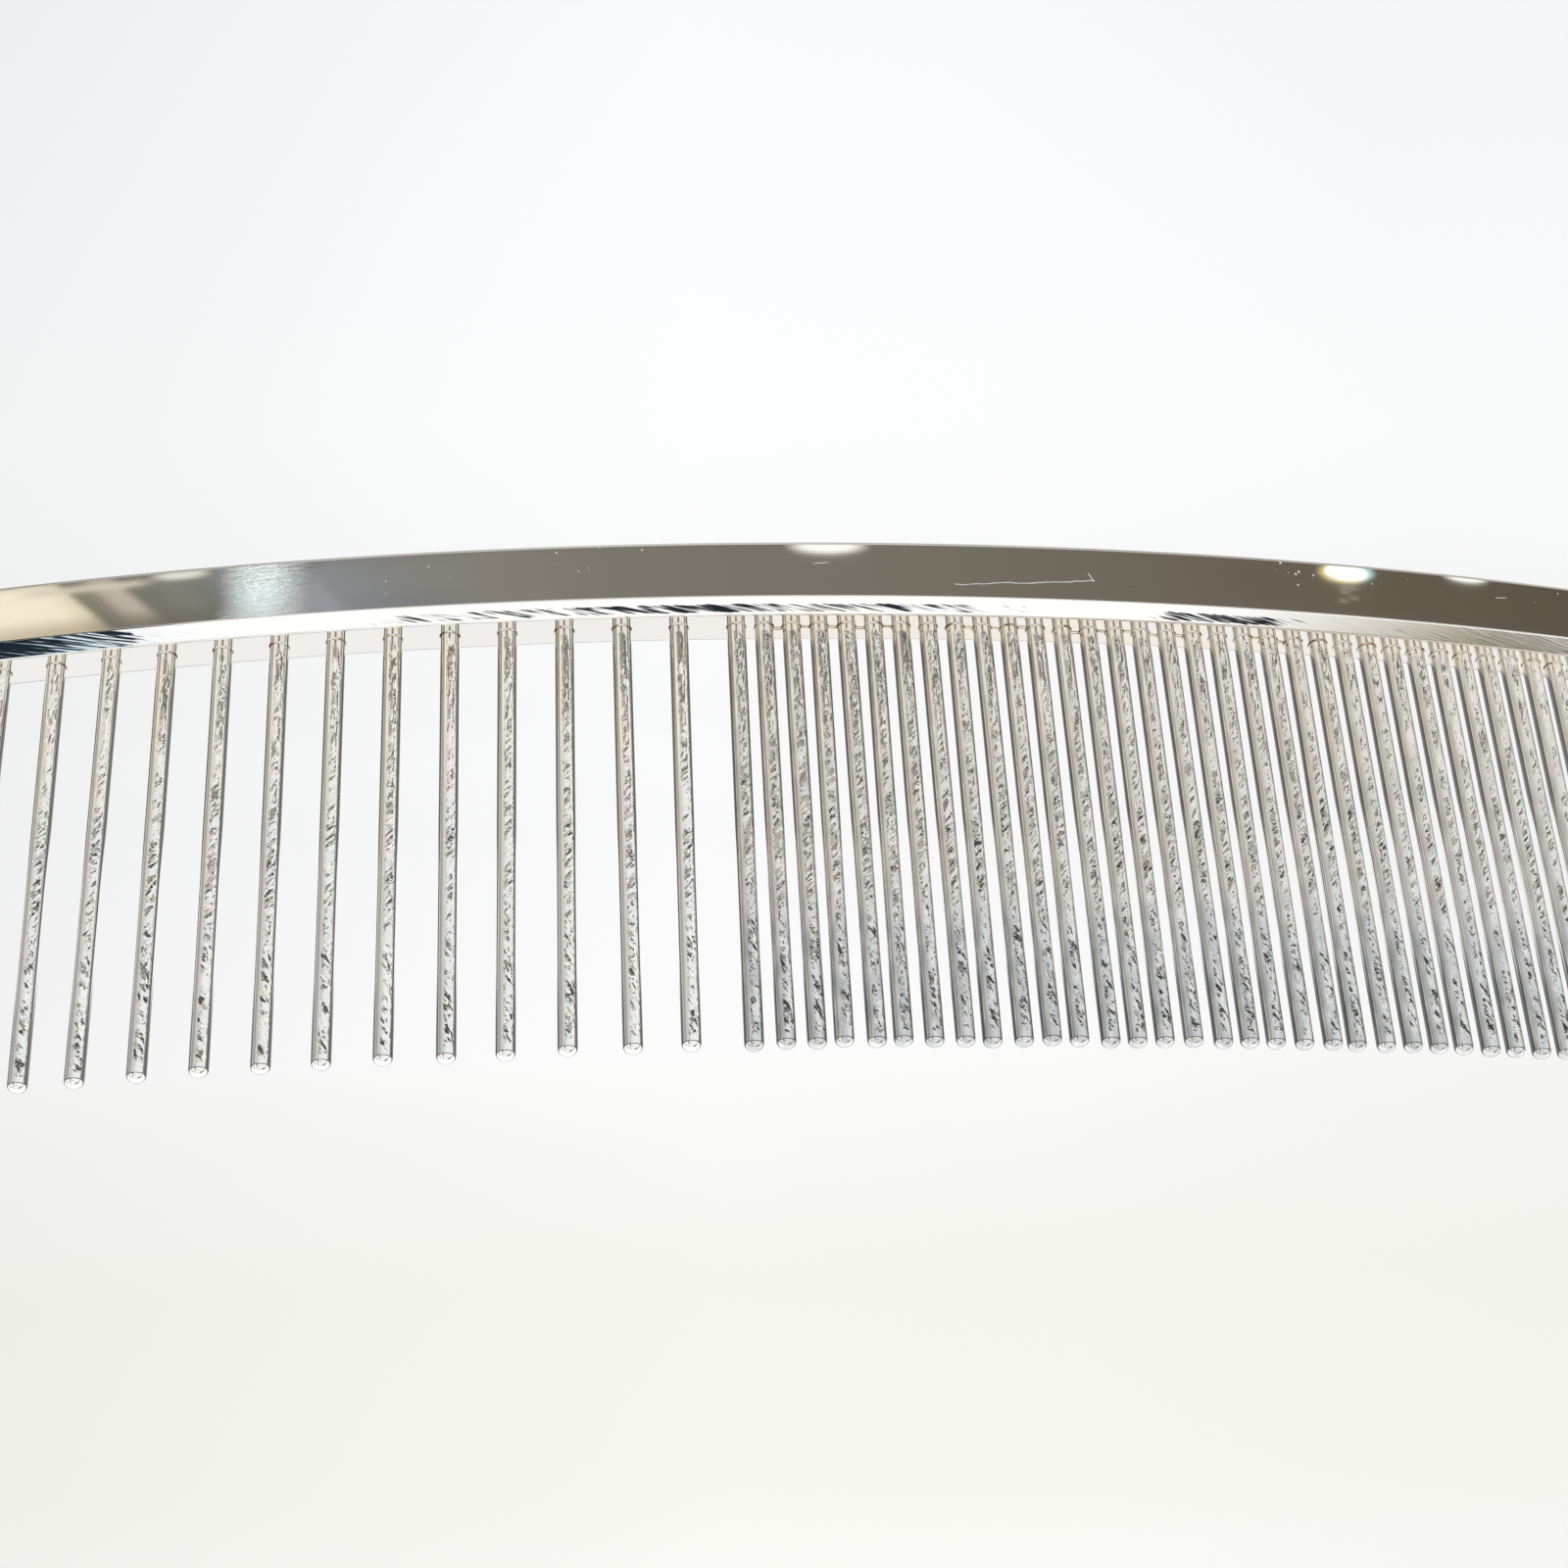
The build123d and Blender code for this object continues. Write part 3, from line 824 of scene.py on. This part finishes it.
def panel(around, colour, turns, rises, soft_turn, soft_rise):
    """A panel with soft edges, between two turns and two rises."""
    amount = None
    for place, (low, high), soft in ((turn, turns, soft_turn), (rise, rises, soft_rise)):
        for start, way in ((low, 1), (high, -1)):
            edge = add_node(room, "MapRange", {"Value": place, "From Min": start - way * soft,
                                               "From Max": start + way * soft},
                            interpolation_type="SMOOTHSTEP").outputs["Result"]
            if amount is not None:
                edge = add_node(room, "Math", {0: amount, 1: edge}, operation="MULTIPLY").outputs["Value"]
            amount = edge
    return add_node(room, "Mix", {0: amount, 6: around, 7: colour}, data_type="RGBA").outputs[2]


def spot(around, colour, turn_at, rise_at, half_turn, half_rise, soft):
    """A round or oval light with a soft rim, as a share of its half widths."""
    across = add_node(room, "MapRange", {"Value": turn, "From Min": turn_at, "From Max": turn_at + half_turn},
                      clamp=False)
    up = add_node(room, "MapRange", {"Value": rise, "From Min": rise_at, "From Max": rise_at + half_rise},
                  clamp=False)
    offset = add_node(room, "CombineXYZ", {"X": across.outputs["Result"], "Y": up.outputs["Result"]})
    distance = add_node(room, "VectorMath", {0: offset.outputs["Vector"]}, operation="LENGTH")
    return blend(distance.outputs["Value"], 1 - soft, 1 + soft, colour, around)


# What the outer face mirrors. The posts on the left lean a little.
lean = add_node(room, "MapRange", {"Value": rise, "From Min": -1.0, "From Max": 2.0, "To Min": -4.65,
                                   "To Max": 4.65})
leaning = add_node(room, "Math", {0: turn, 1: lean.outputs["Result"]}, operation="ADD")
left_side = wall(-50, -10, [
    (-50, "#EFE6D6"), (-40, "#FCF6E8"), (-34.4, "#FAF2E0"), (-33.1, "#E9DFCB"), (-32.6, "#7F7F70"),
    (-31.7, "#8E8A80"), (-31.0, "#BDB4A8"), (-30.1, "#C4BDB2"), (-29.4, "#7A7870"), (-27.4, "#82847E"),
    (-26, "#7C7F7A"), (-24.4, "#7F8484"), (-20.4, "#A4AAB2"), (-19, "#8C9198"), (-14.5, "#87898A"),
    (-10, "#86857F")], leaning.outputs["Value"])
beam_end = wall(-50, -10, [
    (-50, "#D9D1C0"), (-40, "#D4CAB6"), (-34.4, "#C2B8A2"), (-33.1, "#A89F8A"), (-32.6, "#76756A"),
    (-31.0, "#868076"), (-29.4, "#74726B"), (-27.4, "#75736D"), (-26, "#6C6C6A"), (-24.4, "#74777A"),
    (-20.4, "#9A9FAA"), (-19, "#868B92"), (-14.5, "#7F8183"), (-10, "#7C7B76")], leaning.outputs["Value"])
left_side = blend(rise, 0.0, 0.45, beam_end, left_side)
right_side = wall(-14, 90, [
    (-14, "#87898A"), (-10, "#86857F"), (-4, "#817E77"), (5, "#7B7871"), (15, "#78746C"), (25, "#726D65"),
    (33, "#6D665C"), (40, "#696256"), (45, "#645D51"), (54, "#5F584C"), (56.5, "#FFFFFF"), (68, "#FFFFFF"),
    (72, "#B2AEA6"), (90, "#D6D2CA")], turn)
behind = blend(turn, -14, -10, left_side, right_side)
behind = panel(behind, linear("#DCD6C8"), (-36.5, -29.6), (0.87, 1.0), 0.9, 0.05)
behind = panel(behind, linear("#D6EAF4"), (-24.2, -21.5), (-0.5, 1.5), 1.3, 0.1)
behind = spot(behind, [1.35, 1.5, 1.55, 1.0], -23.0, 1.1, 1.9, 0.44, 0.45)
behind = spot(behind, [0.95, 0.95, 0.9, 1.0], -27.6, 1.05, 1.5, 0.1, 0.5)
behind = spot(behind, [1.2, 1.2, 1.2, 1.0], 9.8, 1.03, 2.0, 0.17, 0.4)
behind = spot(behind, [1.4, 1.4, 1.4, 1.0], 47.6, 1.02, 1.2, 0.12, 0.35)
behind = spot(behind, linear("#E8DC9C"), 40.1, 0.82, 1.35, 0.21, 0.25)
behind = spot(behind, linear("#BFEDF2"), 40.65, 0.88, 1.35, 0.19, 0.2)
behind = spot(behind, [1.6, 1.6, 1.55, 1.0], 40.35, 0.85, 1.25, 0.18, 0.15)
for turn_at, rise_at, half_turn in (
        (40.3, 0.5, 0.6), (40.0, 0.4, 0.35), (40.5, 0.29, 0.3), (39.8, 0.2, 0.35)):
    behind = spot(behind, linear("#C9C3B6"), turn_at, rise_at, half_turn, 0.014, 0.5)
rim = wall(-100, 100, [
    (-100, "#5C5A4E"), (-56, "#66645A"), (-42, "#BFC3C4"), (35, "#D8DCDE"), (60, "#6A665C"),
    (100, "#5A564C")], turn)
behind = blend(rise, 1.0, 1.3, behind, linear("#6F6D66"))
behind = blend(axes.outputs["Y"], 0.55, 0.58, behind, linear("#C6C4BE"))
behind = blend(axes.outputs["Y"], 0.75, 0.9, behind, rim)

# What the pins mirror, lower down. Strips of light and shade run along them, and grow lighter and colder
# towards the tips.
lower = wall(-140, 140, [
    (-140, "#67635D"), (-105, "#7F7A72"), (-90, "#9B968F"), (-68, "#B7B2AA"), (-61, "#C4BFB7"),
    (-55, "#FBF7EF"), (-46, "#FBF7EF"), (-38, "#FFFEFA"), (-28, "#FFFEFA"), (-22, "#B9B5AE"),
    (-6, "#A29D96"), (-2, "#78736C"), (4, "#78736C"), (9, "#AEAAA3"), (24, "#C4C0BA"), (29, "#FFFEFA"),
    (84, "#FFFEFA"), (94, "#BDBAB4"), (106, "#97948E"), (140, "#6C6963")], turn)
lowest = wall(-140, 140, [
    (-140, "#67635D"), (-105, "#7F7A72"), (-90, "#9B968F"), (-68, "#B7B2AA"), (-61, "#C0BBB3"),
    (-50, "#D8D4CC"), (-30, "#E2DED8"), (-24, "#CFCBC5"), (-14, "#F4F2EF"), (20, "#FFFEFC"),
    (84, "#FFFEFA"), (94, "#BDBAB4"), (106, "#97948E"), (140, "#6C6963")], turn)
cold = add_node(room, "MapRange", {"Value": axes.outputs["Y"], "From Min": 0.43, "From Max": 0.36})
lowest = add_node(room, "Mix", {0: cold.outputs["Result"], 6: lowest, 7: linear("#F0F8FF")},
                  data_type="RGBA", blend_type="MULTIPLY").outputs[2]
lower = blend(axes.outputs["Y"], 0.44, 0.485, lowest, lower)
behind = blend(rise, -0.45, -0.2, lower, behind)
beside = blend(axes.outputs["Y"], 0.55, 0.58, lower, behind)
behind = blend(turn, -39, -42, behind, beside)
behind = blend(turn, 55, 58, behind, beside)

# What the tips and the bevel mirror, in front and below. The necks of the pins mirror one narrow band of it,
# with white strips and a dark line between them. A dark rim parts the front of the room from its back.
neck = wall(-100, 100, [
    (-100, "#817D79"), (-80, "#98948F"), (-68, "#B9B5B0"), (-60, "#FFFFFF"), (-18, "#FFFFFF"),
    (-13, "#B5B3B1"), (-7, "#A5A3A1"), (-5, "#6F6C68"), (0, "#6F6C68"), (2, "#A5A3A1"), (11, "#B9B7B5"),
    (15, "#FFFFFF"), (68, "#FFFFFF"), (74, "#8B8884"), (84, "#716E6A"), (100, "#9A9793")], turn)
front = wall(-90, 90, [
    (-90, "#8C8A86"), (-76, "#FFFFFF"), (-39, "#FFFFFF"), (-37, "#4C4B46"), (-27, "#4C4B46"),
    (-24, "#FFFFFF"), (76, "#FFFFFF"), (90, "#8C8A86")], turn)
ahead = wall(-70, 70, [
    (-70, "#FFFFFF"), (-57, "#A9CCE4"), (-46, "#BAD8EA"), (-42, "#FFFFFF"), (46, "#FFFFFF"),
    (50, "#E8E6E0"), (55, "#D2CFC6"), (60, "#98927F"), (66, "#787264")], turn)
ahead = blend(axes.outputs["Y"], -0.72, -0.62, ahead, front)
ahead = blend(axes.outputs["Y"], -0.55, -0.53, ahead, neck)
ahead = blend(axes.outputs["Y"], -0.46, -0.44, ahead, front)
ahead = blend(axes.outputs["Y"], 0.0, 0.05, ahead, linear("#4C4B48"))
around = blend(axes.outputs["Y"], 0.18, 0.26, ahead, behind)
lit = add_node(room, "Background", {"Color": around, "Strength": 1.1})
plain = add_node(room, "Background", {"Color": linear("#F7F8F8"), "Strength": 1.0})
either = add_node(room, "MixShader", {0: rays.outputs["Is Camera Ray"], 1: lit.outputs["Background"],
                                      2: plain.outputs["Background"]})
add_node(room, "OutputWorld", {"Surface": either.outputs["Shader"]})

# A soft lamp above and in front. The metal doesn't mirror it.
LAMP_PLACE = Vector((-0.12, -0.5, 0.62))
lamp_data = bpy.data.lights.new("soft_key", "AREA")
lamp_data.shape = "RECTANGLE"
lamp_data.size = 0.5
lamp_data.size_y = 0.4
lamp_data.energy = 1.2
soft_key = bpy.data.objects.new("soft_key", lamp_data)
soft_key.location = LAMP_PLACE
soft_key.rotation_euler = (-LAMP_PLACE).to_track_quat("-Z", "Y").to_euler()
soft_key.visible_glossy = False
bpy.context.scene.collection.objects.link(soft_key)

CAMERA_PLACE = Vector((-6.29, -68.62, 158.46)) * MM
CAMERA_TURN = (26.619, -3.035, -2.86)
camera = bpy.data.objects.new("camera", bpy.data.cameras.new("camera"))
camera.location = CAMERA_PLACE
camera.rotation_euler = [math.radians(angle) for angle in CAMERA_TURN]
camera.data.lens = 55.162
camera.data.clip_start = 0.01
bpy.context.scene.collection.objects.link(camera)
bpy.context.scene.camera = camera
bpy.context.scene.view_settings.view_transform = "Standard"
